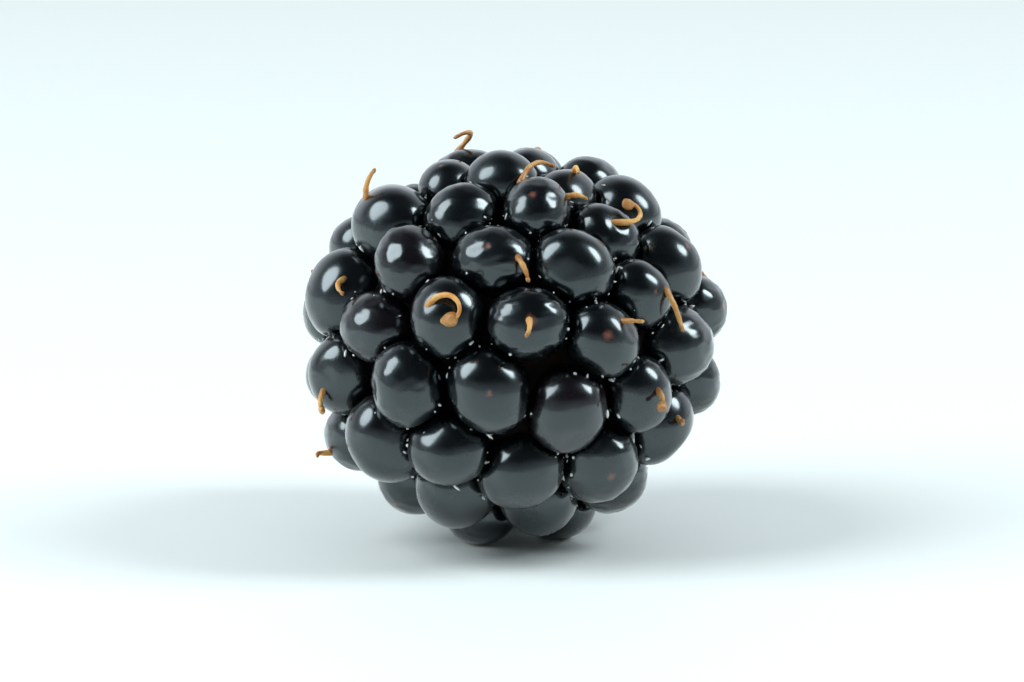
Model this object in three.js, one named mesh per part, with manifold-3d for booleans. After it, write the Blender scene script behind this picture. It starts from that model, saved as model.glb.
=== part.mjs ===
// A ripe bramble berry, as picked, lying on a table.
// Millimetres, +Z up. The origin is on the table, under the middle of the berry, and its front faces -Y.
//
// The fruit is one solid: juicy drupelets grown together round the receptacle, with an open pit at the
// stem end, at the back, where the fruit came off its stalk. It rests on three drupelets that its weight
// presses flat. Each dried style that still clings to the skin is a piece of its own, and so is each dried
// stamen round the pit.
import * as THREE from "three";
import { mergeVertices } from "three/addons/utils/BufferGeometryUtils.js";
import Module from "manifold-3d";

const wasm = await Module();
wasm.setup();

// Driving dimensions.
const BERRY_WIDTH = 22.7; // across, on X
const BERRY_HEIGHT = 21.4;
const BERRY_LENGTH = 23.4; // from front to back
const DRUPELET_RADIUS = 2.2; // of one of middling size
const DRUPELET_SPACING = 0.93; // of neighbours' middles, as a share of their radii together
const DRUPELET_COUNT = 74;
const SIZE_SPREAD = 0.13; // how far the drupelets that the rule sizes differ from middling, as a share
const PROUD = 0.4; // how far a drupelet may stand proud of the rest, or be sunk between them
const CREVICE_DEPTH = 1.6; // between drupelets, below the berry's own outline
const PIT_RADIUS = 3.1; // of the pit at the stem end
const PIT_DEPTH = 5; // below the berry's own outline
const RECEPTACLE_RADIUS = 2.3; // of the end of the receptacle, at the bottom of the pit
const RECEPTACLE_HEIGHT = 1.4;
const RIM_COUNT = 9; // the small shrivelled drupelets round the pit
const RIM_RADIUS = 0.9; // of one of middling size
const RIM_SINK = 2.1; // how far inside the pit's mouth they are
const FEET = 3; // the drupelets that it rests on
const FOOT_SPREAD = 2.4; // from the berry's lowest point to each of them
const PRESSED_FLAT = 0.16; // how much of them its weight has pressed flat
const STAMEN_COUNT = 10; // the dried ones that still cling round the pit
const STYLE_THICKNESS = 0.24; // the stamens are as thick
const STYLE_GAP = 0.04; // between a dried style and the skin that it lies over
const STYLE_ROOT = 0.1; // how deep its root is in the skin
const STYLES_KEPT = 0.5; // share of the drupelets away from the front that still have theirs
const STYLE_STEPS = 8;
const CLING = 0.16; // how strongly a dried style bends back to the skin

const TURN = Math.PI * 2;
const DEGREE = TURN / 360;
const GOLDEN_TURN = Math.PI * (3 - Math.sqrt(5)); // between points that are spread evenly round a ball
const UP = new THREE.Vector3(0, 0, 1);
const STEM = new THREE.Vector3(0.26, 0.95, -0.12).normalize(); // from the middle to the stem end

// The drupelets of the front, each as [how far right of the middle, how far above it, radius], as one
// sees them from LOOK_DOWN above the table.
const LOOK_DOWN = 12 * DEGREE;
const FRONT_DRUPELETS = [
  [-5.2, 7.9, 1.8], [-2.0, 8.0, 2.0], [2.1, 9.0, 1.9], [5.7, 7.4, 2.0], [-7.8, 6.0, 1.7],
  [-8.6, 3.8, 1.9], [-5.4, 4.2, 2.1], [-1.4, 4.3, 2.2], [1.3, 6.4, 2.0], [4.0, 5.2, 2.0], [8.4, 4.5, 2.0],
  [-9.4, 1.2, 1.9], [-4.3, 0.6, 2.2], [0.4, 0.9, 2.2], [4.2, 1.2, 2.1], [6.6, 2.8, 1.9], [9.1, 0.8, 2.1],
  [-7.7, -1.3, 2.2], [-9.6, -2.8, 1.9], [-1.4, -2.8, 2.4], [2.7, -3.8, 2.4], [6.2, -2.9, 2.1],
  [9.2, -3.0, 2.0], [-5.3, -4.6, 2.4], [-8.6, -6.0, 1.9], [-1.2, -6.9, 2.4], [5.9, -7.0, 2.3],
  [8.3, -6.2, 1.8], [2.2, -8.0, 2.3], [-5.4, -8.2, 2.1],
];

// The dried styles of the front, each as [right, up, direction it points in clockwise from up, length,
// how far it turns clockwise along the way, how steeply it leaves the skin], with the angles in degrees.
const FRONT_STYLES = [
  [0.1, 9.0, 20, 2.6, 60, 30],
  [4.0, 8.2, 205, 1.0, 0, 20],
  [5.6, 6.8, 100, 2.8, -220, 10],
  [8.3, 2.8, 185, 2.6, -55, 10],
  [0.9, 4.6, 180, 1.4, 10, 0],
  [0.9, 1.1, 175, 1.0, 30, 5],
  [-9.0, 3.8, 235, 1.8, -20, 0],
  [-4.5, 1.9, 60, 3.4, 210, 5],
  [5.9, 1.2, 140, 1.0, 0, 20],
  [7.7, -2.5, 190, 1.2, 20, 20],
  [9.3, -3.9, 200, 1.2, 60, 5],
  [-10.0, -2.7, 200, 1.0, 30, 5],
];

// A number from 0 to 1 that looks random but is the same each time.
function scatter(index, salt) {
  const wide = Math.sin(index * 12.9898 + salt * 78.233) * 43758.5453;
  return wide - Math.floor(wide);
}

// A direction, given as one sees the berry from the front: right, away and up.
function facing(right, away, up) {
  return new THREE.Vector3(right, away, up).applyAxisAngle(new THREE.Vector3(1, 0, 0), -LOOK_DOWN);
}

// From the berry's middle to what one sees there from the front.
function seenAt(right, up) {
  const across = right / (BERRY_WIDTH / 2 - DRUPELET_RADIUS);
  const above = up / (BERRY_HEIGHT / 2 - DRUPELET_RADIUS);
  const near = Math.sqrt(Math.max(0, 1 - across ** 2 - above ** 2)) * (BERRY_LENGTH / 2 - DRUPELET_RADIUS);
  return facing(right, -near, up);
}

// Puts a drupelet's centre on the berry's form, a plain oval.
function seat(centre) {
  const reach = new THREE.Vector3(BERRY_WIDTH, BERRY_LENGTH, BERRY_HEIGHT).multiplyScalar(0.5);
  reach.subScalar(DRUPELET_RADIUS);
  centre.divide(reach).normalize().multiply(reach);
}

// Where every drupelet sits: the three feet, the front, and then one after another in the widest gap that
// is left, round the pit. After each step they are eased apart, and a steady one moves less.
function layOutDrupelets() {
  const pit = { centre: STEM.clone(), radius: PIT_RADIUS, steadiness: 1 };
  seat(pit.centre);
  const balls = [pit];
  for (let foot = 0; foot < FEET; foot++) {
    const bearing = (foot / FEET + 0.625) * TURN;
    const centre = new THREE.Vector3(FOOT_SPREAD * Math.cos(bearing), FOOT_SPREAD * Math.sin(bearing), 0);
    centre.z = DRUPELET_RADIUS - BERRY_HEIGHT / 2;
    balls.push({ centre, radius: DRUPELET_RADIUS, steadiness: 1 });
  }
  for (const [right, up, radius] of FRONT_DRUPELETS) {
    balls.push({ centre: seenAt(right, up), radius, steadiness: 0.75 });
  }
  easeApart(balls);
  while (balls.length <= DRUPELET_COUNT) {
    const size = 1 + SIZE_SPREAD * (2 * scatter(balls.length, 1) - 1);
    balls.push({ centre: widestGap(balls), radius: DRUPELET_RADIUS * size, steadiness: 0 });
    easeApart(balls);
  }
  return balls.slice(1);
}

// The point of the berry's form that is farthest from every drupelet, out of many spread evenly over it.
function widestGap(balls) {
  const stops = 900;
  let widest = { room: -Infinity };
  for (let stop = 0; stop < stops; stop++) {
    const height = 1 - (2 * (stop + 0.5)) / stops;
    const centre = new THREE.Vector3(Math.sqrt(1 - height ** 2), 0, height);
    centre.applyAxisAngle(UP, stop * GOLDEN_TURN);
    seat(centre);
    const room = Math.min(...balls.map((ball) => ball.centre.distanceTo(centre) - ball.radius));
    if (room > widest.room) {
      widest = { room, centre };
    }
  }
  return widest.centre;
}

// Moves neighbours that crowd each other apart along the berry's form, a little at a time.
function easeApart(balls) {
  for (let round = 0; round < 40; round++) {
    const moves = balls.map(() => new THREE.Vector3());
    for (const [index, ball] of balls.entries()) {
      for (const [otherIndex, other] of balls.entries()) {
        const away = ball.centre.clone().sub(other.centre);
        const crowding = DRUPELET_SPACING * (ball.radius + other.radius) - away.length();
        if (index !== otherIndex && crowding > 0) {
          moves[index].addScaledVector(away.normalize(), crowding * 0.3);
        }
      }
    }
    for (const [index, ball] of balls.entries()) {
      if (ball.steadiness < 1) {
        ball.centre.addScaledVector(moves[index], 1 - ball.steadiness);
        seat(ball.centre);
      }
    }
  }
}

// Stands some drupelets a little proud of the rest, and raises them all so that the feet stand on the table.
function standOnTable(drupelets) {
  for (const [index, { centre, steadiness }] of drupelets.entries()) {
    const stand = steadiness < 1 ? PROUD * (2 * scatter(index, 7) - 1) : 0;
    centre.setLength(centre.length() + stand).add(middle);
  }
  return drupelets;
}

const middle = new THREE.Vector3(0, 0, BERRY_HEIGHT / 2 - PRESSED_FLAT);
const drupelets = standOnTable(layOutDrupelets());
const rim = layOutRim();

// A three.js geometry as a solid that can be joined and cut.
function solidOf(geometry) {
  const bare = geometry.clone();
  bare.deleteAttribute("normal");
  bare.deleteAttribute("uv");
  const welded = mergeVertices(bare, 1e-5);
  const vertProperties = new Float32Array(welded.getAttribute("position").array);
  const triVerts = new Uint32Array(welded.getIndex().array);
  return new wasm.Manifold(new wasm.Mesh({ numProp: 3, vertProperties, triVerts }));
}

// A solid as a three.js geometry again.
function geometryOf(solid) {
  const { vertProperties, triVerts } = solid.getMesh();
  const geometry = new THREE.BufferGeometry();
  geometry.setAttribute("position", new THREE.BufferAttribute(vertProperties, 3));
  geometry.setIndex(new THREE.BufferAttribute(triVerts, 1));
  return geometry;
}

// An oval ball. Its three radii go across, up and along its own axis, which is then turned to `axis`.
function ovalBall(centre, radii, detail, axis = UP) {
  const geometry = new THREE.OctahedronGeometry(1, detail);
  geometry.scale(radii.x, radii.y, radii.z);
  geometry.applyQuaternion(new THREE.Quaternion().setFromUnitVectors(UP, axis));
  geometry.translate(centre.x, centre.y, centre.z);
  return solidOf(geometry);
}

// What the drupelets have grown together on. Its surface passes a little outside their middles.
function makeCore() {
  const radii = new THREE.Vector3(BERRY_WIDTH, BERRY_LENGTH, BERRY_HEIGHT).multiplyScalar(0.5);
  return ovalBall(middle, radii.subScalar(CREVICE_DEPTH), 5);
}

// The middle of the pit's mouth, on the berry's outline at the stem end.
function pitMouth() {
  return middle.clone().addScaledVector(STEM, BERRY_LENGTH / 2);
}

function makePit() {
  return ovalBall(pitMouth(), new THREE.Vector3(PIT_RADIUS, PIT_RADIUS, PIT_DEPTH), 4, STEM);
}

// The torn end of the receptacle, a low dome at the bottom of the pit.
function makeReceptacle() {
  const base = pitMouth().addScaledVector(STEM, -PIT_DEPTH);
  const radii = new THREE.Vector3(RECEPTACLE_RADIUS, RECEPTACLE_RADIUS, RECEPTACLE_HEIGHT);
  return ovalBall(base, radii, 4, STEM);
}

function makeTable() {
  const geometry = new THREE.BoxGeometry(3 * BERRY_WIDTH, 3 * BERRY_LENGTH, BERRY_HEIGHT);
  geometry.translate(0, 0, -BERRY_HEIGHT / 2);
  return solidOf(geometry);
}

// A place round the stem's axis, so far round it, out from it and inside the pit's mouth.
function aroundPit(turn, radius, depth) {
  const out = new THREE.Vector3().crossVectors(STEM, UP).setLength(radius).applyAxisAngle(STEM, turn);
  return out.add(pitMouth()).addScaledVector(STEM, -depth);
}

// The drupelets round the pit that never filled out, and have shrivelled.
function layOutRim() {
  const drupelets = [];
  for (let index = 0; index < RIM_COUNT; index++) {
    const turn = ((index + 0.7 * scatter(index, 32)) / RIM_COUNT) * TURN;
    const out = PIT_RADIUS + 0.5 * (scatter(index, 33) - 0.6);
    const centre = aroundPit(turn, out, RIM_SINK + 0.9 * (scatter(index, 34) - 0.5));
    drupelets.push({ centre, radius: RIM_RADIUS * (0.7 + 0.6 * scatter(index, 31)) });
  }
  return drupelets;
}

function addBalls(solid, balls, detail) {
  let sum = solid;
  for (const { centre, radius } of balls) {
    sum = sum.add(ovalBall(centre, new THREE.Vector3(radius, radius, radius), detail));
  }
  return sum;
}

// The whole fruit, as one solid.
function makeBerry() {
  const hollow = addBalls(makeCore(), drupelets, 3).subtract(makePit());
  return geometryOf(addBalls(hollow, rim, 2).add(makeReceptacle()).subtract(makeTable()));
}

// Moves a point of a dried style or stamen out of any drupelet that it would run through.
function pushClear(point) {
  for (const { centre, radius } of [...drupelets, ...rim]) {
    const clear = radius + STYLE_THICKNESS / 2 + STYLE_GAP;
    if (point.distanceTo(centre) < clear) {
      point.sub(centre).setLength(clear).add(centre);
    }
  }
}

// Where a line out of the berry's middle meets its outline.
function outlineTowards(direction) {
  const outline = direction.clone();
  seat(outline);
  return outline.addScaledVector(direction, DRUPELET_RADIUS).add(middle);
}

// The spot on the skin of these drupelets that is nearest to a place, and a little deeper.
function rootNear(place, drupelets) {
  const room = ({ centre, radius }) => centre.distanceTo(place) - radius;
  const { centre, radius } = drupelets.reduce((best, next) => (room(next) < room(best) ? next : best));
  return place.clone().sub(centre).setLength(radius - STYLE_ROOT).add(centre);
}

// The middle line of a dried style or stamen. It rises out of its root, and then drapes over whatever it
// meets. It curls more tightly towards its tip.
function drape({ root, towards, heading, length, curl, rise }) {
  const point = root.clone();
  const points = [root];
  const outward = towards.clone();
  const forward = heading.clone().projectOnPlane(outward).normalize().multiplyScalar(Math.cos(rise));
  forward.addScaledVector(outward, Math.sin(rise));
  for (let step = 1; step <= STYLE_STEPS; step++) {
    const bend = (2 * curl * step) / (STYLE_STEPS * (STYLE_STEPS + 1));
    forward.applyAxisAngle(outward, -bend).addScaledVector(outward, -CLING).normalize();
    point.addScaledVector(forward, length / STYLE_STEPS);
    pushClear(point);
    pushClear(point);
    forward.copy(point).sub(points.at(-1)).normalize();
    outward.copy(point).sub(middle).normalize();
    points.push(point.clone());
  }
  return new THREE.CatmullRomCurve3(points);
}

function makeStrand(lie) {
  const section = new THREE.Shape().absarc(0, 0, STYLE_THICKNESS / 2, 0, TURN);
  const extrudePath = drape(lie);
  return new THREE.ExtrudeGeometry(section, { extrudePath, steps: STYLE_STEPS, curveSegments: 3 });
}

// How the dried styles of the front lie.
function frontLies() {
  const inset = 1 - (2 * DRUPELET_RADIUS) / BERRY_WIDTH; // of the drupelets' middles from the skin
  return FRONT_STYLES.map(([right, up, bearing, length, curl, rise]) => {
    const towards = seenAt(inset * right, inset * up).normalize();
    return {
      root: rootNear(outlineTowards(towards), drupelets),
      towards,
      heading: facing(Math.sin(bearing * DEGREE), 0, Math.cos(bearing * DEGREE)),
      length,
      curl: curl * DEGREE,
      rise: rise * DEGREE,
    };
  });
}

// How those of the drupelets elsewhere that still have theirs lie.
function otherLies() {
  const lies = [];
  for (const [index, { centre }] of drupelets.entries()) {
    const isElsewhere = index >= FEET + FRONT_DRUPELETS.length && centre.y > -BERRY_LENGTH / 4;
    if (isElsewhere && centre.z > BERRY_HEIGHT / 4 && scatter(index, 2) < STYLES_KEPT) {
      const towards = centre.clone().sub(middle).normalize();
      lies.push({
        root: rootNear(outlineTowards(towards), drupelets),
        towards,
        heading: new THREE.Vector3(1, 1, 0).applyAxisAngle(towards, TURN * scatter(index, 3)),
        length: 1 + 2 * scatter(index, 4),
        curl: TURN * (scatter(index, 5) - 0.5),
        rise: 40 * DEGREE * scatter(index, 6),
      });
    }
  }
  return lies;
}

// How the dried stamens lie, which stand out of the pit's rim and lean away from the pit.
function stamenLies() {
  const lies = [];
  for (let index = 0; index < STAMEN_COUNT; index++) {
    const turn = ((index + 0.8 * scatter(index, 41)) / STAMEN_COUNT) * TURN;
    const lean = 2 * (scatter(index, 42) - 0.5);
    lies.push({
      root: rootNear(aroundPit(turn, PIT_RADIUS, 0.5 * RIM_SINK), rim),
      towards: STEM,
      heading: aroundPit(turn, 1, 0).sub(pitMouth()).applyAxisAngle(STEM, lean),
      length: 1.3 + 1.6 * scatter(index, 43),
      curl: 3 * (scatter(index, 44) - 0.5),
      rise: (25 + 50 * scatter(index, 45)) * DEGREE,
    });
  }
  return lies;
}

// A named piece, in a material of its own.
function piece(name, geometry, color, roughness) {
  const mesh = new THREE.Mesh(geometry, new THREE.MeshStandardMaterial({ color, roughness, metalness: 0 }));
  mesh.name = name;
  return mesh;
}

const group = new THREE.Group();
group.name = "bramble_berry";
group.add(piece("berry", makeBerry(), 0x120a12, 0.2));
const strands = { dried_style: [...frontLies(), ...otherLies()], dried_stamen: stamenLies() };
for (const [kind, lies] of Object.entries(strands)) {
  for (const [index, lie] of lies.entries()) {
    const name = `${kind}_${String(index + 1).padStart(2, "0")}`;
    group.add(piece(name, makeStrand(lie), 0xb27a3c, 0.7));
  }
}

export default group;
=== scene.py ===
"""A ripe bramble berry, as picked, lying on a white table with its stem end at the back."""

import math

import bmesh
import bpy
import numpy as np
from mathutils import Matrix, Vector, noise


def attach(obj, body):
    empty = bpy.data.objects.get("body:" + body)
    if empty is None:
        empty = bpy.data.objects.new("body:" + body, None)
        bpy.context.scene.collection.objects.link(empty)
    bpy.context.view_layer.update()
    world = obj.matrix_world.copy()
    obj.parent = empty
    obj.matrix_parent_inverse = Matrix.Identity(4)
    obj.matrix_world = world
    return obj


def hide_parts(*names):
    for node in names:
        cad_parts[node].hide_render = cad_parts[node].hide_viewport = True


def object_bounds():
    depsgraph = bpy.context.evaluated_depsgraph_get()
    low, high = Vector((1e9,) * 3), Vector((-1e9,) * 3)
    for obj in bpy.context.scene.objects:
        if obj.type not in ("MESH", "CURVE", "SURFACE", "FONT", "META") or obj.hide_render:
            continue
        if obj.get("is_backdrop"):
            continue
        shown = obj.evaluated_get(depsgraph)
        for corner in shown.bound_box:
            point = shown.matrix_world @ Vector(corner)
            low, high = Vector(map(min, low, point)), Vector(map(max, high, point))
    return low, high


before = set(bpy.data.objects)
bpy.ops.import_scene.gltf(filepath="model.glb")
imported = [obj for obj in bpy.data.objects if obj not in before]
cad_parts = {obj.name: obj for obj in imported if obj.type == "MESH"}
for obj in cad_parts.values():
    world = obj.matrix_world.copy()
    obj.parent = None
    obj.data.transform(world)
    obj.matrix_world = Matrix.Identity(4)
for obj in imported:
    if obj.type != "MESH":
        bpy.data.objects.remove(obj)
cad_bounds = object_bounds()

MM = 0.001

# Driving dimensions, in millimetres. They are the part's own, so the looks fit its frame.
OUTLINE = np.array([22.7, 23.4, 21.4])  # across, from front to back, and high
DRUPELET_RADIUS = 2.2  # of one of middling size
DRUPELET_SPACING = 0.93  # of neighbours' middles, as a share of their radii together
DRUPELET_COUNT = 74
SIZE_SPREAD = 0.13
PROUD = 0.4  # how far a drupelet may stand proud of the rest, or be sunk between them
PIT_RADIUS = 3.1
PIT_DEPTH = 5.0
RECEPTACLE_RADIUS = 2.3
RECEPTACLE_HEIGHT = 1.4
RIM_COUNT = 9  # the small shrivelled drupelets round the pit
RIM_RADIUS = 0.9
RIM_SINK = 2.1  # how far inside the pit's mouth they are
STAMEN_COUNT = 10
FEET = 3
FOOT_SPREAD = 2.4
PRESSED_FLAT = 0.16
STYLE_THICKNESS = 0.24
STYLE_ROOT = 0.1  # how deep in the skin its root is
STYLES_KEPT = 0.5  # share of the drupelets at the sides and back that kept theirs
STYLE_STEPS = 8
CLING = 0.16  # how strongly a strand bends back to the skin
STAMEN_SHARE = 0.7  # a stamen's thickness, as a share of a style's

# What only the eye sees.
BALL_LEVEL = 5  # of the round mesh that each drupelet starts as
PRESS_SHARPNESS = 22  # how tightly a drupelet turns from its dome to the side that a neighbour presses
CREASE = 0.03  # gap between pressed neighbours
FLESH_DEPTH = 0.3  # of the flesh, under the drupelets' middles
DENTED_SHARE = 0.25
WRINKLED_SHARE = 0.35
SCARRED_SHARE = 0.3  # of the drupelets, the ones that show where their style broke off
SCAR_DEPTH = 0.03
GLINT_SPECKS_KEPT = 0.6  # share of the three painted glint specks that each side of a crevice has room for
WIDEST_GLINT_CREVICE = 0.5  # how wide a crevice may be where a painted glint speck is still put
STRAND_SIDES = 8

# The stage, in metres, with the room's colours.
TABLE_HALF = 3
CAMERA_DISTANCE = 0.5
VIEW_WIDTH = 0.054  # how much of the berry's plane the camera takes in
SENSOR_WIDTH = 36  # of the camera, in millimetres
SOFTBOX_DISTANCE = 0.42
FILL_DISTANCE = 1.2
LAMP_COLOUR = (0.88, 0.96, 1.0)
BACKDROP = (0.86, 0.93, 0.95, 1)
ROOM_HIGH = (0.04, 0.045, 0.05)
ROOM_LOW = (0.55, 0.61, 0.66)
ROOM_BACK = (0.85, 0.93, 1.0)

TURN = 2 * math.pi
GOLDEN_TURN = math.pi * (3 - math.sqrt(5))
UP = np.array([0.0, 0.0, 1.0])
STEM = np.array([0.26, 0.95, -0.12])
STEM /= np.linalg.norm(STEM)
REACH = OUTLINE / 2 - DRUPELET_RADIUS
MIDDLE = np.array([0, 0, OUTLINE[2] / 2 - PRESSED_FLAT])

# The drupelets of the front: how far right of the middle, how far above it, and radius, as one sees them
# from LOOK_DOWN above the table.
LOOK_DOWN = math.radians(12)
FRONT_DRUPELETS = [
    (-5.2, 7.9, 1.8), (-2.0, 8.0, 2.0), (2.1, 9.0, 1.9), (5.7, 7.4, 2.0), (-7.8, 6.0, 1.7),
    (-8.6, 3.8, 1.9), (-5.4, 4.2, 2.1), (-1.4, 4.3, 2.2), (1.3, 6.4, 2.0), (4.0, 5.2, 2.0), (8.4, 4.5, 2.0),
    (-9.4, 1.2, 1.9), (-4.3, 0.6, 2.2), (0.4, 0.9, 2.2), (4.2, 1.2, 2.1), (6.6, 2.8, 1.9), (9.1, 0.8, 2.1),
    (-7.7, -1.3, 2.2), (-9.6, -2.8, 1.9), (-1.4, -2.8, 2.4), (2.7, -3.8, 2.4), (6.2, -2.9, 2.1),
    (9.2, -3.0, 2.0), (-5.3, -4.6, 2.4), (-8.6, -6.0, 1.9), (-1.2, -6.9, 2.4), (5.9, -7.0, 2.3),
    (8.3, -6.2, 1.8), (2.2, -8.0, 2.3), (-5.4, -8.2, 2.1),
]

# The dried styles of the front: right, up, direction clockwise from up, length, how far it turns along the
# way, and how steeply it leaves the skin.
FRONT_STYLES = [
    (0.1, 9.0, 20, 2.6, 60, 30), (4.0, 8.2, 205, 1.0, 0, 20), (5.6, 6.8, 100, 2.8, -220, 10),
    (8.3, 2.8, 185, 2.6, -55, 10), (0.9, 4.6, 180, 1.4, 10, 0), (0.9, 1.1, 175, 1.0, 30, 5),
    (-9.0, 3.8, 235, 1.8, -20, 0), (-4.5, 1.9, 60, 3.4, 210, 5), (5.9, 1.2, 140, 1.0, 0, 20),
    (7.7, -2.5, 190, 1.2, 20, 20), (9.3, -3.9, 200, 1.2, 60, 5), (-10.0, -2.7, 200, 1.0, 30, 5),
]
SWOLLEN_TIPS = {2: 0.3, 7: 0.42, 9: 0.3, 11: 0.22}  # radii of the front styles' tips that are swollen


# ---------------------------------------------------------------- the lie of the drupelets

def scatter(index, salt):
    """A number from 0 to 1 that looks random but is the same each time."""
    wide = math.sin(index * 12.9898 + salt * 78.233) * 43758.5453
    return wide - math.floor(wide)


def facing(right, away, up):
    """A direction, given as one sees the berry from the front."""
    cos, sin = math.cos(LOOK_DOWN), math.sin(LOOK_DOWN)
    return np.array([right, away * cos + up * sin, up * cos - away * sin])


def seen_at(right, up):
    """From the berry's middle to what one sees there from the front."""
    near = math.sqrt(max(0.0, 1 - (right / REACH[0]) ** 2 - (up / REACH[2]) ** 2)) * REACH[1]
    return facing(right, -near, up)


def unit(vectors):
    return vectors / np.linalg.norm(vectors, axis=-1, keepdims=True)


def seat(points):
    """Puts drupelets' centres on the berry's form, a plain oval."""
    return unit(points / REACH) * REACH


def widest_gap(centres, radii):
    """The point of the berry's form that is farthest from every drupelet."""
    stops = 900
    stop = np.arange(stops)
    height = 1 - (2 * stop + 1) / stops
    ring, turn = np.sqrt(1 - height**2), stop * GOLDEN_TURN
    spots = seat(np.stack([ring * np.cos(turn), ring * np.sin(turn), height], axis=1))
    room = np.linalg.norm(spots[:, None] - centres[None], axis=2) - radii
    return spots[room.min(axis=1).argmax()]


def ease_apart(centres, radii, steadiness):
    """Moves neighbours that crowd each other apart along the berry's form, a little at a time."""
    loose = steadiness < 1
    for _ in range(40):
        away = centres[:, None] - centres[None]
        distance = np.linalg.norm(away, axis=2)
        np.fill_diagonal(distance, np.inf)
        crowding = np.clip(DRUPELET_SPACING * (radii[:, None] + radii[None]) - distance, 0, None)
        moves = (away / distance[..., None] * (crowding * 0.3)[..., None]).sum(axis=1)
        eased = seat(centres + moves * (1 - steadiness)[:, None])
        centres[loose] = eased[loose]
    return centres


def lay_out_drupelets():
    """Centres and radii of the feet, the front, and then one after another in the widest gap left."""
    balls = [(seat(STEM), PIT_RADIUS, 1.0)]
    for foot in range(FEET):
        bearing = (foot / FEET + 0.625) * TURN
        place = [FOOT_SPREAD * math.cos(bearing), FOOT_SPREAD * math.sin(bearing), -REACH[2]]
        balls.append((np.array(place), DRUPELET_RADIUS, 1.0))
    balls += [(seen_at(right, up), radius, 0.75) for right, up, radius in FRONT_DRUPELETS]
    centres, radii, steadiness = (np.array(column, dtype=float) for column in zip(*balls))
    centres = ease_apart(centres, radii, steadiness)
    while len(radii) <= DRUPELET_COUNT:
        size = 1 + SIZE_SPREAD * (2 * scatter(len(radii), 1) - 1)
        centres = np.vstack([centres, widest_gap(centres, radii)])
        radii = np.append(radii, DRUPELET_RADIUS * size)
        steadiness = np.append(steadiness, 0.0)
        centres = ease_apart(centres, radii, steadiness)
    centres, radii, steadiness = centres[1:], radii[1:], steadiness[1:]
    stand = np.array([PROUD * (2 * scatter(index, 7) - 1) for index in range(DRUPELET_COUNT)])
    stand[steadiness == 1] = 0
    return centres + unit(centres) * stand[:, None] + MIDDLE, radii


centres, radii = lay_out_drupelets()


# ---------------------------------------------------------------- making pieces

def new_piece(name, bm, finish):
    """Turns a bmesh that is in millimetres into a smooth-shaded piece that rides on the berry."""
    bmesh.ops.scale(bm, vec=Vector((MM, MM, MM)), verts=bm.verts)
    mesh = bpy.data.meshes.new(name)
    bm.to_mesh(mesh)
    bm.free()
    mesh.shade_smooth()
    mesh.materials.append(finish)
    piece = bpy.data.objects.new(name, mesh)
    bpy.context.collection.objects.link(piece)
    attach(piece, "root")
    return piece


def spots_of(piece):
    """Where a piece's vertices are, in millimetres."""
    spots = np.empty(len(piece.data.vertices) * 3)
    piece.data.vertices.foreach_get("co", spots)
    return spots.reshape(-1, 3) / MM


def reshape(piece, spots):
    """Moves a piece's vertices to new places, in millimetres."""
    piece.data.vertices.foreach_set("co", (spots * MM).ravel())
    piece.data.update()


def paint(piece, name, amounts):
    """Stores an amount at each vertex, for the finish to read."""
    piece.data.attributes.new(name, "FLOAT", "POINT").data.foreach_set("value", amounts)


def ripple(spots, size, seed=0.0):
    """Smooth random waves, from -1 to 1, at each spot; size is about that of one wave."""
    shift = Vector((seed, 0.37 * seed, -0.61 * seed))
    return np.array([noise.noise(Vector(spot / size) + shift) for spot in spots])


def turned(vector, axis, angle):
    return np.array(Matrix.Rotation(angle, 3, Vector(axis)) @ Vector(vector))


def somewhere(index, salt):
    """A direction that looks random but is the same each time."""
    return unit(np.array([scatter(index, salt + 0.1 * axis) - 0.5 for axis in range(3)]))


# ---------------------------------------------------------------- drupelets

def dome(index, directions):
    """How far a drupelet's skin is from its centre in each direction before its neighbours press it."""
    outward = unit(centres[index] - MIDDLE)
    sideways = unit(np.cross(outward, somewhere(index, 11)))
    reach = 0.97 + 0.07 * (2 * (directions @ sideways) ** 2 - 1)
    reach += 0.06 * np.clip(directions @ outward, 0, 1) ** 2
    reach += 0.03 * ripple(directions, 0.9, 7.1 * index) + 0.006 * ripple(directions, 0.3, 3.3 * index)
    if scatter(index, 13) < WRINKLED_SHARE:
        reach -= 0.03 * np.abs(ripple(directions * [1, 1, 2], 0.45, 5.7 * index))
    if scatter(index, 14) < DENTED_SHARE:
        dent = unit(outward + 0.6 * somewhere(index, 15))
        spread = np.arccos(np.clip(directions @ dent, -1, 1)) / math.radians(22)
        reach -= 0.08 * np.exp(-(spread**2))
    return radii[index] * reach


def press(index, directions):
    """The skin once the neighbours and the table press it: rounded over from dome to flat side."""
    centre, radius = centres[index], radii[index]
    away = centres - centre
    distance = np.linalg.norm(away, axis=1)
    near = (distance > 0) & (distance < radius + radii)
    planes = (distance[near] ** 2 + radius**2 - radii[near] ** 2) / (2 * distance[near]) - CREASE
    soft = dome(index, directions) ** -PRESS_SHARPNESS
    for normal, plane in zip(away[near] / distance[near, None], planes):
        facing_plane = np.clip(directions @ normal, 0.01, None)
        soft += (plane / facing_plane) ** -PRESS_SHARPNESS
    reach = soft ** (-1 / PRESS_SHARPNESS)
    down = np.clip(-directions[:, 2], 1e-6, None)
    return np.minimum(reach, centre[2] / down)


def scar_of(index):
    """Where on a drupelet its style grew: near its crown, a little towards the berry's tip."""
    return unit(unit(centres[index] - MIDDLE) - 0.25 * STEM + 0.25 * somewhere(index, 19))


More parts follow.
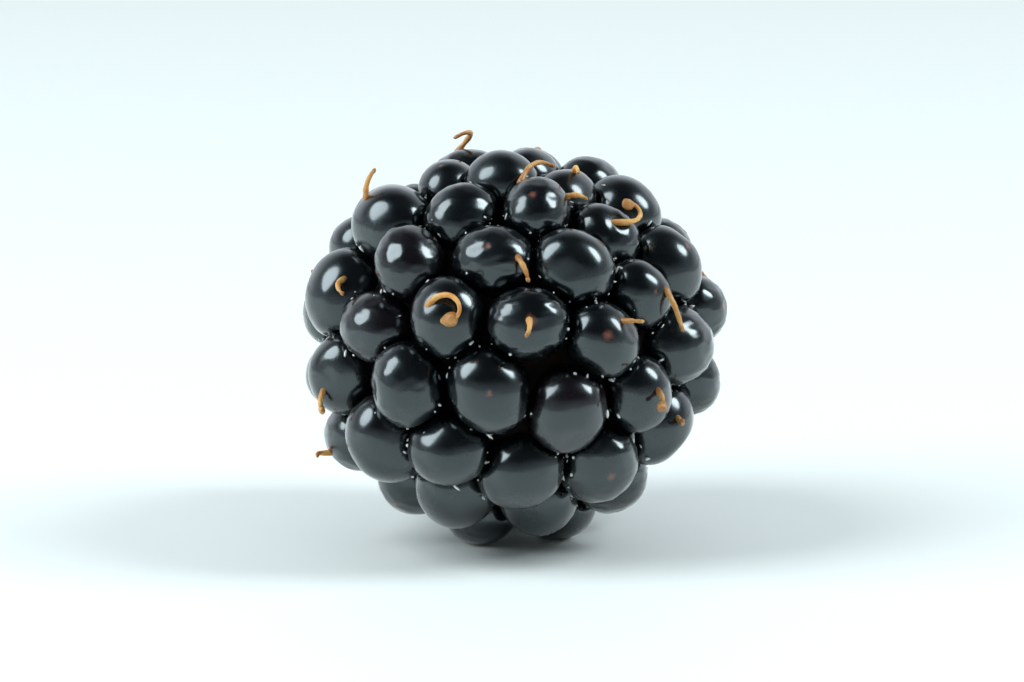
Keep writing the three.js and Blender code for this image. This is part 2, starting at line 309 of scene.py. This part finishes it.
def make_drupelets(name, indices, finish):
    """Juicy drupelets, each a ball pressed to the shape that its neighbours leave it."""
    bm = bmesh.new()
    for _ in indices:
        bmesh.ops.create_icosphere(bm, subdivisions=BALL_LEVEL, radius=1 / MM)
    piece = new_piece(name, bm, finish)
    balls = spots_of(piece).reshape(len(indices), -1, 3)
    tones, scars = np.empty(balls.shape[:2]), np.zeros(balls.shape[:2])
    for order, index in enumerate(indices):
        directions = unit(balls[order])
        tones[order] = scatter(index, 18)
        reach = press(index, directions)
        if scatter(index, 20) < SCARRED_SHARE:
            size = math.radians(3.5 + 5 * scatter(index, 21) ** 2)
            spread = np.arccos(np.clip(directions @ scar_of(index), -1, 1)) / size
            spread *= 1 + 0.5 * ripple(directions, 0.15, 2.9 * index)
            scars[order] = np.clip(1.3 - spread, 0, 1)
            reach -= SCAR_DEPTH * scars[order]
        balls[order] = centres[index] + directions * reach[:, None]
    reshape(piece, balls.reshape(-1, 3))
    paint(piece, "tone", tones.ravel())
    paint(piece, "scar", scars.ravel())
    return piece


def crevice_places():
    """Where two drupelets meet: the drupelet, the way to its neighbour and the way out, and a number each."""
    for index in range(DRUPELET_COUNT):
        distance = np.linalg.norm(centres - centres[index], axis=1)
        for other in np.flatnonzero((distance > 0) & (distance < radii + radii[index])):
            normal = unit(centres[other] - centres[index])
            out = unit(centres[index] - MIDDLE)
            yield index, normal, unit(out - (out @ normal) * normal), 3 * (index * DRUPELET_COUNT + other)


def make_painted_crevice_glints(finish):
    """Tiny pale grains and hairs where drupelets meet, coloured white so that they show as the glints there:
    painted glints.
    """
    bm = bmesh.new()
    for index, normal, out, first in crevice_places():
        for number in range(first, first + 3):
            if scatter(number, 51) < GLINT_SPECKS_KEPT and centres[index][2] > DRUPELET_RADIUS:
                side = turned(out, normal, 2.6 * (scatter(number, 52) - 0.5))
                lean = math.radians(24 + 24 * scatter(number, 53))
                way = normal * math.cos(lean) + side * math.sin(lean)
                spot = centres[index] + way * press(index, way[None])[0]
                room = np.linalg.norm(centres - spot, axis=1) - radii
                if np.partition(room, 1)[1] > WIDEST_GLINT_CREVICE:
                    continue
                size = 0.035 + 0.07 * scatter(number, 54) ** 2
                lie = Vector(somewhere(number, 58)).to_track_quat("Z", "Y").to_matrix().to_4x4()
                stretch = Matrix.Diagonal((1, 1, 1 + 4 * scatter(number, 56) ** 2, 1))
                shape = Matrix.Translation(Vector(spot)) @ lie @ stretch
                bmesh.ops.create_icosphere(bm, subdivisions=1, radius=size, matrix=shape)
    return new_piece("painted_crevice_glints", bm, finish)


# ---------------------------------------------------------------- the stem end

PIT_MOUTH = MIDDLE + STEM * OUTLINE[1] / 2


def make_flesh(finish):
    """What the drupelets have grown on. It shows only between them and in the pit."""
    bm = bmesh.new()
    bmesh.ops.create_icosphere(bm, subdivisions=6, radius=1 / MM)
    piece = new_piece("flesh", bm, finish)
    spots = MIDDLE + unit(spots_of(piece)) * (REACH - FLESH_DEPTH)
    height = (spots - PIT_MOUTH) @ STEM
    aside = np.linalg.norm(spots - PIT_MOUTH - height[:, None] * STEM, axis=1) / PIT_RADIUS
    floor = -PIT_DEPTH * np.sqrt(np.clip(1 - aside**2, 0, 1))
    lower = np.where(aside < 1, np.minimum(height, floor), height) - height
    reshape(piece, spots + lower[:, None] * STEM + 0.12 * unit(spots - MIDDLE) * ripple(spots, 0.5)[:, None])
    return piece


def make_receptacle(finish):
    """The torn brown end of the receptacle, at the bottom of the pit."""
    bm = bmesh.new()
    bmesh.ops.create_icosphere(bm, subdivisions=5, radius=1 / MM)
    piece = new_piece("receptacle_end", bm, finish)
    balls = unit(spots_of(piece))
    along = (balls @ STEM)[:, None]
    spots = RECEPTACLE_RADIUS * (balls - along * STEM) + RECEPTACLE_HEIGHT * along * STEM
    spots *= 1 + 0.2 * ripple(spots, 0.6)[:, None] + 0.16 * ripple(spots * (1, 0.4, 1), 0.16, 4.0)[:, None]
    reshape(piece, PIT_MOUTH - STEM * PIT_DEPTH + spots)
    return piece


def around_pit(turn, radius, depth):
    """A place round the stem's axis, so far round it, out from it and inside the pit's mouth."""
    out = turned(unit(np.cross(STEM, UP)), STEM, turn)
    return PIT_MOUTH + radius * out - depth * STEM


def lay_out_rim():
    """The drupelets round the pit that never filled out: their middles and radii."""
    places = []
    for index in range(RIM_COUNT):
        turn = (index + 0.7 * scatter(index, 32)) / RIM_COUNT * TURN
        out = PIT_RADIUS + 0.5 * (scatter(index, 33) - 0.6)
        places.append(around_pit(turn, out, RIM_SINK + 0.9 * (scatter(index, 34) - 0.5)))
    sizes = RIM_RADIUS * (0.7 + 0.6 * np.array([scatter(index, 31) for index in range(RIM_COUNT)]))
    return np.array(places), sizes


rim_centres, rim_radii = lay_out_rim()


def make_pit_rim(finish):
    """The shrivelled drupelets, creased all over like raisins, and painted darker in the grooves, as shade."""
    bm = bmesh.new()
    for _ in range(RIM_COUNT):
        bmesh.ops.create_icosphere(bm, subdivisions=5, radius=1 / MM)
    piece = new_piece("shrivelled_rim", bm, finish)
    balls = unit(spots_of(piece).reshape(RIM_COUNT, -1, 3))
    tones = np.empty(balls.shape[:2])
    for index, ball in enumerate(balls):
        creases = np.abs(ripple(ball * (1, 1, 1.6), 0.7, 9.1 * index))
        fine = np.abs(ripple(ball, 0.25, 4.3 * index))
        reach = 1.08 - 0.38 * (1 - creases) ** 6 - 0.07 * (1 - fine) ** 4
        # Painted shade: the tone is lower in the grooves and higher on the ridges, on top of a random dry tone
        # for each drupelet.
        tones[index] = np.clip(0.8 * scatter(index, 35) + 0.5 * (creases - 0.2), 0, 1)
        balls[index] = rim_centres[index] + ball * (rim_radii[index] * reach)[:, None]
    reshape(piece, balls.reshape(-1, 3))
    paint(piece, "tone", tones.ravel())
    return piece


# ---------------------------------------------------------------- dried styles and threads

def add_strand(bm, points, widths):
    """A thin round strand that follows points, with a half-width at each."""
    points = [Vector(point) for point in points]
    tangents = [(after - before).normalized() for before, after in zip(points, points[1:])]
    tangents.append(tangents[-1])
    aim = Vector((0, 0, 1)).rotation_difference(tangents[0]).to_matrix().to_4x4()
    start = Matrix.Translation(points[0]) @ aim
    ring = bmesh.ops.create_circle(bm, cap_ends=True, segments=STRAND_SIDES, radius=widths[0], matrix=start)
    verts = ring["verts"]
    edges = list({edge for vert in verts for edge in vert.link_edges})
    made = set(verts)
    for number in range(1, len(points)):
        grown = bmesh.ops.extrude_edge_only(bm, edges=edges)["geom"]
        verts = [item for item in grown if isinstance(item, bmesh.types.BMVert)]
        edges = [item for item in grown if isinstance(item, bmesh.types.BMEdge) and item.is_boundary]
        bend = tangents[number - 1].rotation_difference(tangents[number]).to_matrix().to_4x4()
        shrink = Matrix.Scale(widths[number] / widths[number - 1], 4)
        back = Matrix.Translation(-points[number - 1])
        move = Matrix.Translation(points[number]) @ bend @ shrink @ back
        bmesh.ops.transform(bm, matrix=move, verts=verts)
        made.update(verts)
    bmesh.ops.contextual_create(bm, geom=edges)
    faces = {face for vert in made for face in vert.link_faces}
    bmesh.ops.recalc_face_normals(bm, faces=list(faces))


def smooth_path(points, pieces=3):
    """More points along the same way, on a curve through the given ones."""
    points = np.array(points)
    ends = np.vstack([2 * points[0] - points[1], points, 2 * points[-1] - points[-2]])
    path = []
    for before, here, after, beyond in zip(ends, ends[1:], ends[2:], ends[3:]):
        for part in np.arange(pieces) / pieces:
            path.append(
                here
                + 0.5 * part * (after - before)
                + part**2 * (before - 2.5 * here + 2 * after - 0.5 * beyond)
                + part**3 * (1.5 * (here - after) + 0.5 * (beyond - before))
            )
    return path + [points[-1]]


def push_clear(point, clearance):
    """Moves a point of a strand out of any drupelet that it would run through."""
    for index in np.flatnonzero(np.linalg.norm(centres - point, axis=1) < 1.2 * radii + clearance):
        away = point - centres[index]
        clear = press(index, unit(away)[None])[0] + clearance
        if np.linalg.norm(away) < clear:
            point = centres[index] + unit(away) * clear
    for centre, radius in zip(rim_centres, rim_radii):
        if np.linalg.norm(point - centre) < radius + clearance:
            point = centre + unit(point - centre) * (radius + clearance)
    return point


def root_of_style(towards):
    """The spot on the skin nearest to where a line out of the middle meets the outline, and a little deeper."""
    outline = MIDDLE + unit(towards / REACH) * REACH + towards * DRUPELET_RADIUS
    index = (np.linalg.norm(centres - outline, axis=1) - radii).argmin()
    out = unit(outline - centres[index])
    return centres[index] + out * (press(index, out[None])[0] - STYLE_ROOT)


def drape(root, towards, heading, length, curl, rise):
    """The way of a strand, which rises out of its root and drapes over whatever it meets."""
    points, outward = [root - 0.25 * towards, root], towards
    forward = unit(heading - (heading @ outward) * outward) * math.cos(rise) + outward * math.sin(rise)
    for step in range(1, STYLE_STEPS + 1):
        bend = 2 * curl * step / (STYLE_STEPS * (STYLE_STEPS + 1))
        forward = unit(turned(forward, outward, -bend) - CLING * outward)
        point = points[-1] + forward * length / STYLE_STEPS
        point = push_clear(push_clear(point, 0.6 * STYLE_THICKNESS), 0.6 * STYLE_THICKNESS)
        forward, outward = unit(point - points[-1]), unit(point - MIDDLE)
        points.append(point)
    return smooth_path(points)


def style_lies():
    """How every dried style lies: those of the front, then those of the drupelets elsewhere that kept one."""
    inset = 1 - 2 * DRUPELET_RADIUS / OUTLINE[0]
    for right, up, bearing, length, curl, rise in FRONT_STYLES:
        towards = unit(seen_at(inset * right, inset * up))
        heading = facing(math.sin(math.radians(bearing)), 0, math.cos(math.radians(bearing)))
        yield root_of_style(towards), towards, heading, length, math.radians(curl), math.radians(rise)
    for index in range(FEET + len(FRONT_DRUPELETS), DRUPELET_COUNT):
        is_elsewhere = centres[index][1] > -OUTLINE[1] / 4 and centres[index][2] > OUTLINE[2] / 4
        if is_elsewhere and scatter(index, 2) < STYLES_KEPT:
            towards = unit(centres[index] - MIDDLE)
            heading = turned((1, 1, 0), towards, TURN * scatter(index, 3))
            length, curl = 1 + 2 * scatter(index, 4), TURN * (scatter(index, 5) - 0.5)
            rise = math.radians(40 * scatter(index, 6))
            yield root_of_style(towards), towards, heading, length, curl, rise


def stamen_lies():
    """How the dried stamens lie, which stand out of the pit's rim and lean away from the pit."""
    for index in range(STAMEN_COUNT):
        turn = (index + 0.8 * scatter(index, 41)) / STAMEN_COUNT * TURN
        beside = around_pit(turn, PIT_RADIUS, 0.5 * RIM_SINK)
        ball = (np.linalg.norm(rim_centres - beside, axis=1) - rim_radii).argmin()
        root = rim_centres[ball] + unit(beside - rim_centres[ball]) * (0.9 * rim_radii[ball] - STYLE_ROOT)
        heading = turned(around_pit(turn, 1, 0) - PIT_MOUTH, STEM, 2 * (scatter(index, 42) - 0.5))
        length, curl = 1.3 + 1.6 * scatter(index, 43), 3 * (scatter(index, 44) - 0.5)
        yield root, STEM, heading, length, curl, math.radians(25 + 50 * scatter(index, 45))


def add_dried_strand(bm, number, path, thickness, tones):
    """A strand, uneven and tapered from its root to a thread. Its tone darkens towards both ends."""
    along = np.linspace(0, 1, len(path))
    uneven = 1 + 0.35 * np.array([noise.noise(Vector((5 * way, number, 0))) for way in along])
    widths = thickness / 2 * (1.6 - 0.85 * along) * uneven
    add_strand(bm, path, list(widths))
    ends = 1 - np.clip(2.5 * np.minimum(along, 1.15 - along), 0, 1)
    shade = 0.6 * scatter(number, 50) + 0.5 * ends
    tones.extend(np.repeat(shade, STRAND_SIDES))
    return widths


def add_knob(bm, number, path, radius):
    """An uneven, shrivelled knob at the tip of a strand."""
    stretch = Matrix.Diagonal((0.8 + 0.3 * scatter(number, 47), 0.7 + 0.3 * scatter(number, 48), 1.2, 1))
    lie = Vector(path[-1] - path[-2]).to_track_quat("Z", "Y").to_matrix().to_4x4()
    made = bmesh.ops.create_icosphere(bm, subdivisions=3, radius=radius)
    for vert in made["verts"]:
        vert.co *= 1 + 0.3 * noise.noise(vert.co / radius + Vector((number, 0, 0)))
    bmesh.ops.transform(bm, matrix=Matrix.Translation(Vector(path[-1])) @ lie @ stretch, verts=made["verts"])


def make_dried(name, lies, swollen_tips, thickness, finish):
    """A set of dried strands, each with a shrivelled knob at its tip; swollen_tips gives the big ones."""
    bm, tones = bmesh.new(), []
    for number, lie in enumerate(lies):
        path = drape(*lie)
        widths = add_dried_strand(bm, number, path, thickness, tones)
        add_knob(bm, number, path, swollen_tips.get(number, 1.4 * widths[-1]))
        tones.extend([0.3 + 0.6 * scatter(number, 57)] * (len(bm.verts) - len(tones)))
    piece = new_piece(name, bm, finish)
    paint(piece, "tone", tones)
    return piece


# ---------------------------------------------------------------- finishes

def new_group(name, inputs, output):
    """An empty shader group with number inputs, given with their usual values, and one output."""
    group = bpy.data.node_groups.new(name, "ShaderNodeTree")
    for label, value in inputs.items():
        socket = group.interface.new_socket(label, in_out="INPUT", socket_type="NodeSocketFloat")
        socket.default_value = value
    group.interface.new_socket(output, in_out="OUTPUT", socket_type="NodeSocketFloat")
    return group, group.nodes.new("NodeGroupInput"), group.nodes.new("NodeGroupOutput")


def new_noise(tree, inputs):
    """Noise over the surface. Its size comes from the group's own inputs."""
    place = tree.nodes.new("ShaderNodeTexCoord")
    noise_waves = tree.nodes.new("ShaderNodeTexNoise")
    tree.links.new(place.outputs["Object"], noise_waves.inputs["Vector"])
    tree.links.new(inputs.outputs["Waves per metre"], noise_waves.inputs["Scale"])
    tree.links.new(inputs.outputs["Detail"], noise_waves.inputs["Detail"])
    return noise_waves.outputs["Fac"]


def make_patches_group():
    """Soft patches that go from the low amount to the high one."""
    inputs = {"Waves per metre": 1000, "Detail": 2, "Low": 0, "High": 1, "Sharpness": 0.15}
    group, given, result = new_group("soft_patches", inputs, "Amount")
    edges = []
    for operation in ("SUBTRACT", "ADD"):
        edge = group.nodes.new("ShaderNodeMath")
        edge.operation = operation
        edge.inputs[0].default_value = 0.5
        group.links.new(given.outputs["Sharpness"], edge.inputs[1])
        edges.append(edge.outputs["Value"])
    reach = group.nodes.new("ShaderNodeMapRange")
    sources = (new_noise(group, given), *edges, given.outputs["Low"], given.outputs["High"])
    for label, source in zip(("Value", "From Min", "From Max", "To Min", "To Max"), sources):
        group.links.new(source, reach.inputs[label])
    group.links.new(reach.outputs["Result"], result.inputs["Amount"])
    return group


def make_relief_group():
    """Fine relief, as a height for a bump."""
    group, given, result = new_group("fine_relief", {"Waves per metre": 3000, "Detail": 3}, "Height")
    group.links.new(new_noise(group, given), result.inputs["Height"])
    return group


def place_group(nodes, group, **values):
    """Puts a group in a finish with values of its own; an underscore in a name stands for a space."""
    holder = nodes.new("ShaderNodeGroup")
    holder.node_tree = group
    for label, value in values.items():
        holder.inputs[label.replace("_", " ")].default_value = value
    return holder.outputs[0]


def new_finish(name):
    finish = bpy.data.materials.new(name)
    finish.use_nodes = True
    return finish, finish.node_tree.nodes, finish.node_tree.links


def add_range(nodes, links, source, from_low, from_high, low, high):
    reach = nodes.new("ShaderNodeMapRange")
    for label, value in zip(("From Min", "From Max", "To Min", "To Max"), (from_low, from_high, low, high)):
        reach.inputs[label].default_value = value
    links.new(source, reach.inputs["Value"])
    return reach.outputs["Result"]


def add_attribute(nodes, name):
    attribute = nodes.new("ShaderNodeAttribute")
    attribute.attribute_name = name
    return attribute.outputs["Fac"]


def add_blend(nodes, links, amount, first, second):
    """A colour that goes from first to second by an amount; each is a socket or a colour."""
    blend = nodes.new("ShaderNodeMix")
    blend.data_type = "RGBA"
    links.new(amount, blend.inputs["Factor"])
    for socket, colour in ((blend.inputs["A"], first), (blend.inputs["B"], second)):
        if isinstance(colour, tuple):
            socket.default_value = (*colour, 1)
        else:
            links.new(colour, socket)
    return blend.outputs["Result"]


def add_relief(nodes, links, shader, depth, strength, **values):
    """Fine relief on a finish, so deep in metres."""
    bump = nodes.new("ShaderNodeBump")
    bump.inputs["Distance"].default_value = depth
    bump.inputs["Strength"].default_value = strength
    links.new(place_group(nodes, fine_relief, **values), bump.inputs["Height"])
    links.new(bump.outputs["Normal"], shader.inputs["Normal"])


def make_berry_skin():
    """Near-black, wet-looking skin; wine red where less ripe, and red-brown where a style broke off."""
    finish, nodes, links = new_finish("ripe_berry_skin")
    shader = nodes["Principled BSDF"]
    shader.inputs["Coat Weight"].default_value = 1.0
    shader.inputs["Coat Roughness"].default_value = 0.14
    shader.inputs["Coat IOR"].default_value = 1.5
    shader.inputs["Specular Tint"].default_value = (0.7, 0.94, 1.0, 1)
    wine = add_range(nodes, links, add_attribute(nodes, "tone"), 0.8, 1.0, 0, 1)
    ripe = add_blend(nodes, links, wine, (0.0012, 0.0018, 0.0026), (0.005, 0.0016, 0.003))
    scarred = add_blend(nodes, links, add_attribute(nodes, "scar"), ripe, (0.2, 0.07, 0.045))
    links.new(scarred, shader.inputs["Base Color"])
    worn = place_group(nodes, soft_patches, Waves_per_metre=500, Detail=3, Low=0.16, High=0.34, Sharpness=0.2)
    links.new(worn, shader.inputs["Roughness"])
    add_relief(nodes, links, shader, 0.00003, 0.35, Waves_per_metre=1400)
    return finish


def make_dark_flesh():
    """Dull purple-black flesh that stays in the shade of the drupelets."""
    finish, nodes, links = new_finish("dark_berry_flesh")
    shader = nodes["Principled BSDF"]
    fibres = place_group(nodes, soft_patches, Waves_per_metre=900, Detail=4)
    flesh = add_blend(nodes, links, fibres, (0.001, 0.0006, 0.0006), (0.006, 0.003, 0.002))
    links.new(flesh, shader.inputs["Base Color"])
    shader.inputs["Roughness"].default_value = 0.9
    shader.inputs["Specular IOR Level"].default_value = 0.08
    return finish


def make_torn_receptacle():
    """Dry olive-brown pith with coarse fibres."""
    finish, nodes, links = new_finish("torn_receptacle")
    shader = nodes["Principled BSDF"]
    fibres = place_group(nodes, soft_patches, Waves_per_metre=1800, Detail=5)
    pith = add_blend(nodes, links, fibres, (0.004, 0.0025, 0.001), (0.06, 0.036, 0.013))
    links.new(pith, shader.inputs["Base Color"])
    shader.inputs["Roughness"].default_value = 0.75
    add_relief(nodes, links, shader, 0.00015, 0.8, Waves_per_metre=2600, Detail=5)
    return finish


def make_shrivelled_skin():
    """Creased skin, from glossy brown-black to a dry pinkish brown; the grooves carry painted shade."""
    finish, nodes, links = new_finish("shrivelled_skin")
    shader = nodes["Principled BSDF"]
    dry = add_range(nodes, links, add_attribute(nodes, "tone"), 0.5, 1.1, 0, 1)
    skin = add_blend(nodes, links, dry, (0.005, 0.004, 0.005), (0.2, 0.09, 0.07))
    links.new(skin, shader.inputs["Base Color"])
    shader.inputs["Roughness"].default_value = 0.24
    add_relief(nodes, links, shader, 0.0001, 0.4, Waves_per_metre=3500)
    return finish


def make_painted_glint_white():
    """Plain white with a faint shine, for the painted glints in the crevices."""
    finish, nodes, _ = new_finish("painted_glint_white")
    nodes["Principled BSDF"].inputs["Base Color"].default_value = (0.8, 0.82, 0.8, 1)
    nodes["Principled BSDF"].inputs["Roughness"].default_value = 0.35
    return finish


def make_dried_fibre():
    """Amber, slightly see-through and waxy, from pale straw to brown at the ends."""
    finish, nodes, links = new_finish("dried_amber_fibre")
    shader = nodes["Principled BSDF"]
    patches = place_group(nodes, soft_patches, Waves_per_metre=1500, Detail=3)
    amber = add_blend(nodes, links, patches, (0.66, 0.3, 0.06), (0.9, 0.55, 0.19))
    browned = add_blend(nodes, links, add_attribute(nodes, "tone"), amber, (0.22, 0.075, 0.02))
    links.new(browned, shader.inputs["Base Color"])
    shader.inputs["Roughness"].default_value = 0.35
    shader.inputs["Subsurface Weight"].default_value = 0.4
    shader.inputs["Subsurface Radius"].default_value = (1.0, 0.5, 0.2)
    shader.inputs["Subsurface Scale"].default_value = 0.0002
    add_relief(nodes, links, shader, 0.00008, 0.7, Waves_per_metre=5000)
    return finish


soft_patches, fine_relief = make_patches_group(), make_relief_group()


# ---------------------------------------------------------------- the whole berry

berry_skin = make_berry_skin()
dried_fibre = make_dried_fibre()

front_to_back = np.argsort(centres[:, 1])
fruit = make_drupelets("front_drupelets", front_to_back[: DRUPELET_COUNT // 2], berry_skin)
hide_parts("berry")
make_drupelets("back_drupelets", front_to_back[DRUPELET_COUNT // 2 :], berry_skin)
# Painted glints: white specks and hairs in the crevices.
make_painted_crevice_glints(make_painted_glint_white())
make_flesh(make_dark_flesh())
make_receptacle(make_torn_receptacle())
make_pit_rim(make_shrivelled_skin())
styles = make_dried("dried_styles", style_lies(), SWOLLEN_TIPS, STYLE_THICKNESS, dried_fibre)
anthers = {number: 0.15 + 0.12 * scatter(number, 49) for number in range(0, STAMEN_COUNT, 2)}
stamens = make_dried("dried_stamens", stamen_lies(), anthers, STAMEN_SHARE * STYLE_THICKNESS, dried_fibre)
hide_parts(*sorted(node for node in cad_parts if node.startswith("dried_style")))
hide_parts(*sorted(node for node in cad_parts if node.startswith("dried_stamen")))


# ---------------------------------------------------------------- table, light and camera

def make_table():
    bm = bmesh.new()
    bmesh.ops.create_grid(bm, x_segments=1, y_segments=1, size=TABLE_HALF)
    mesh = bpy.data.meshes.new("table")
    bm.to_mesh(mesh)
    bm.free()
    table = bpy.data.objects.new("table", mesh)
    bpy.context.collection.objects.link(table)
    finish, nodes, _ = new_finish("white_table")
    nodes["Principled BSDF"].inputs["Base Color"].default_value = (0.85, 0.895, 0.87, 1)
    nodes["Principled BSDF"].inputs["Roughness"].default_value = 0.6
    mesh.materials.append(finish)
    table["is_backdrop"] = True


def make_softbox(name, direction, size, brightness, distance=SOFTBOX_DISTANCE):
    """An oval light, so wide and high, that looks at the berry from a direction."""
    lamp = bpy.data.lights.new(name, "AREA")
    lamp.shape = "ELLIPSE"
    lamp.size, lamp.size_y = size
    lamp.energy = brightness * math.pi**2 / 4 * size[0] * size[1]
    lamp.color = LAMP_COLOUR
    holder = bpy.data.objects.new(name, lamp)
    away = Vector(direction).normalized()
    holder.location = Vector(MIDDLE) * MM + away * distance
    holder.rotation_euler = away.to_track_quat("Z", "Y").to_euler()
    bpy.context.collection.objects.link(holder)
    return holder


def make_room():
    """A pale sweep behind the berry, and in front of it a room that dims from the table's edge upwards."""
    world = bpy.data.worlds.new("pale_room")
    bpy.context.scene.world = world
    world.use_nodes = True
    nodes, links = world.node_tree.nodes, world.node_tree.links
    seen, around = (nodes.new("ShaderNodeBackground") for _ in range(2))
    seen.inputs["Color"].default_value = BACKDROP
    place = nodes.new("ShaderNodeTexCoord")
    split = nodes.new("ShaderNodeSeparateXYZ")
    links.new(place.outputs["Generated"], split.inputs["Vector"])
    behind = add_range(nodes, links, split.outputs["Y"], 0.1, 0.6, 0, 1)
    low = add_range(nodes, links, split.outputs["Z"], 0.95, 0.5, 0, 1)
    both = nodes.new("ShaderNodeMath")
    both.operation = "MULTIPLY"
    links.new(behind, both.inputs[0])
    links.new(low, both.inputs[1])
    dimming = add_range(nodes, links, split.outputs["Z"], 0, 0.4, 0, 1)
    front = add_blend(nodes, links, dimming, ROOM_LOW, ROOM_HIGH)
    walls = add_blend(nodes, links, both.outputs[0], front, ROOM_BACK)
    links.new(walls, around.inputs["Color"])
    path = nodes.new("ShaderNodeLightPath")
    camera = nodes.new("ShaderNodeMixShader")
    links.new(path.outputs["Is Camera Ray"], camera.inputs["Fac"])
    links.new(around.outputs["Background"], camera.inputs[1])
    links.new(seen.outputs["Background"], camera.inputs[2])
    links.new(camera.outputs["Shader"], nodes["World Output"].inputs["Surface"])


def make_camera():
    camera = bpy.data.cameras.new("camera")
    holder = bpy.data.objects.new("camera", camera)
    towards = Vector((0, -math.cos(LOOK_DOWN), math.sin(LOOK_DOWN)))
    target = Vector(MIDDLE) * MM
    camera.sensor_width = SENSOR_WIDTH
    camera.lens = SENSOR_WIDTH * CAMERA_DISTANCE / VIEW_WIDTH
    camera.clip_start = 0.01
    holder.location = target + towards * CAMERA_DISTANCE
    holder.rotation_euler = towards.to_track_quat("Z", "Y").to_euler()
    bpy.context.collection.objects.link(holder)
    bpy.context.scene.camera = holder


make_table()
make_softbox("left_softbox", (-0.74, -0.21, 0.63), (0.27, 0.38), 7.5)
make_softbox("right_softbox", (0.77, -0.06, 0.65), (0.16, 0.25), 13)
make_softbox("overhead_fill", (0.1, -0.2, 1), (1.2, 1.2), 0.65, FILL_DISTANCE).visible_glossy = False
make_room()
make_camera()
bpy.context.scene.view_settings.view_transform = "Standard"

bounds = {"cad": cad_bounds, "visual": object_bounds()}
{key: [list(corner) for corner in value] for key, value in bounds.items()}
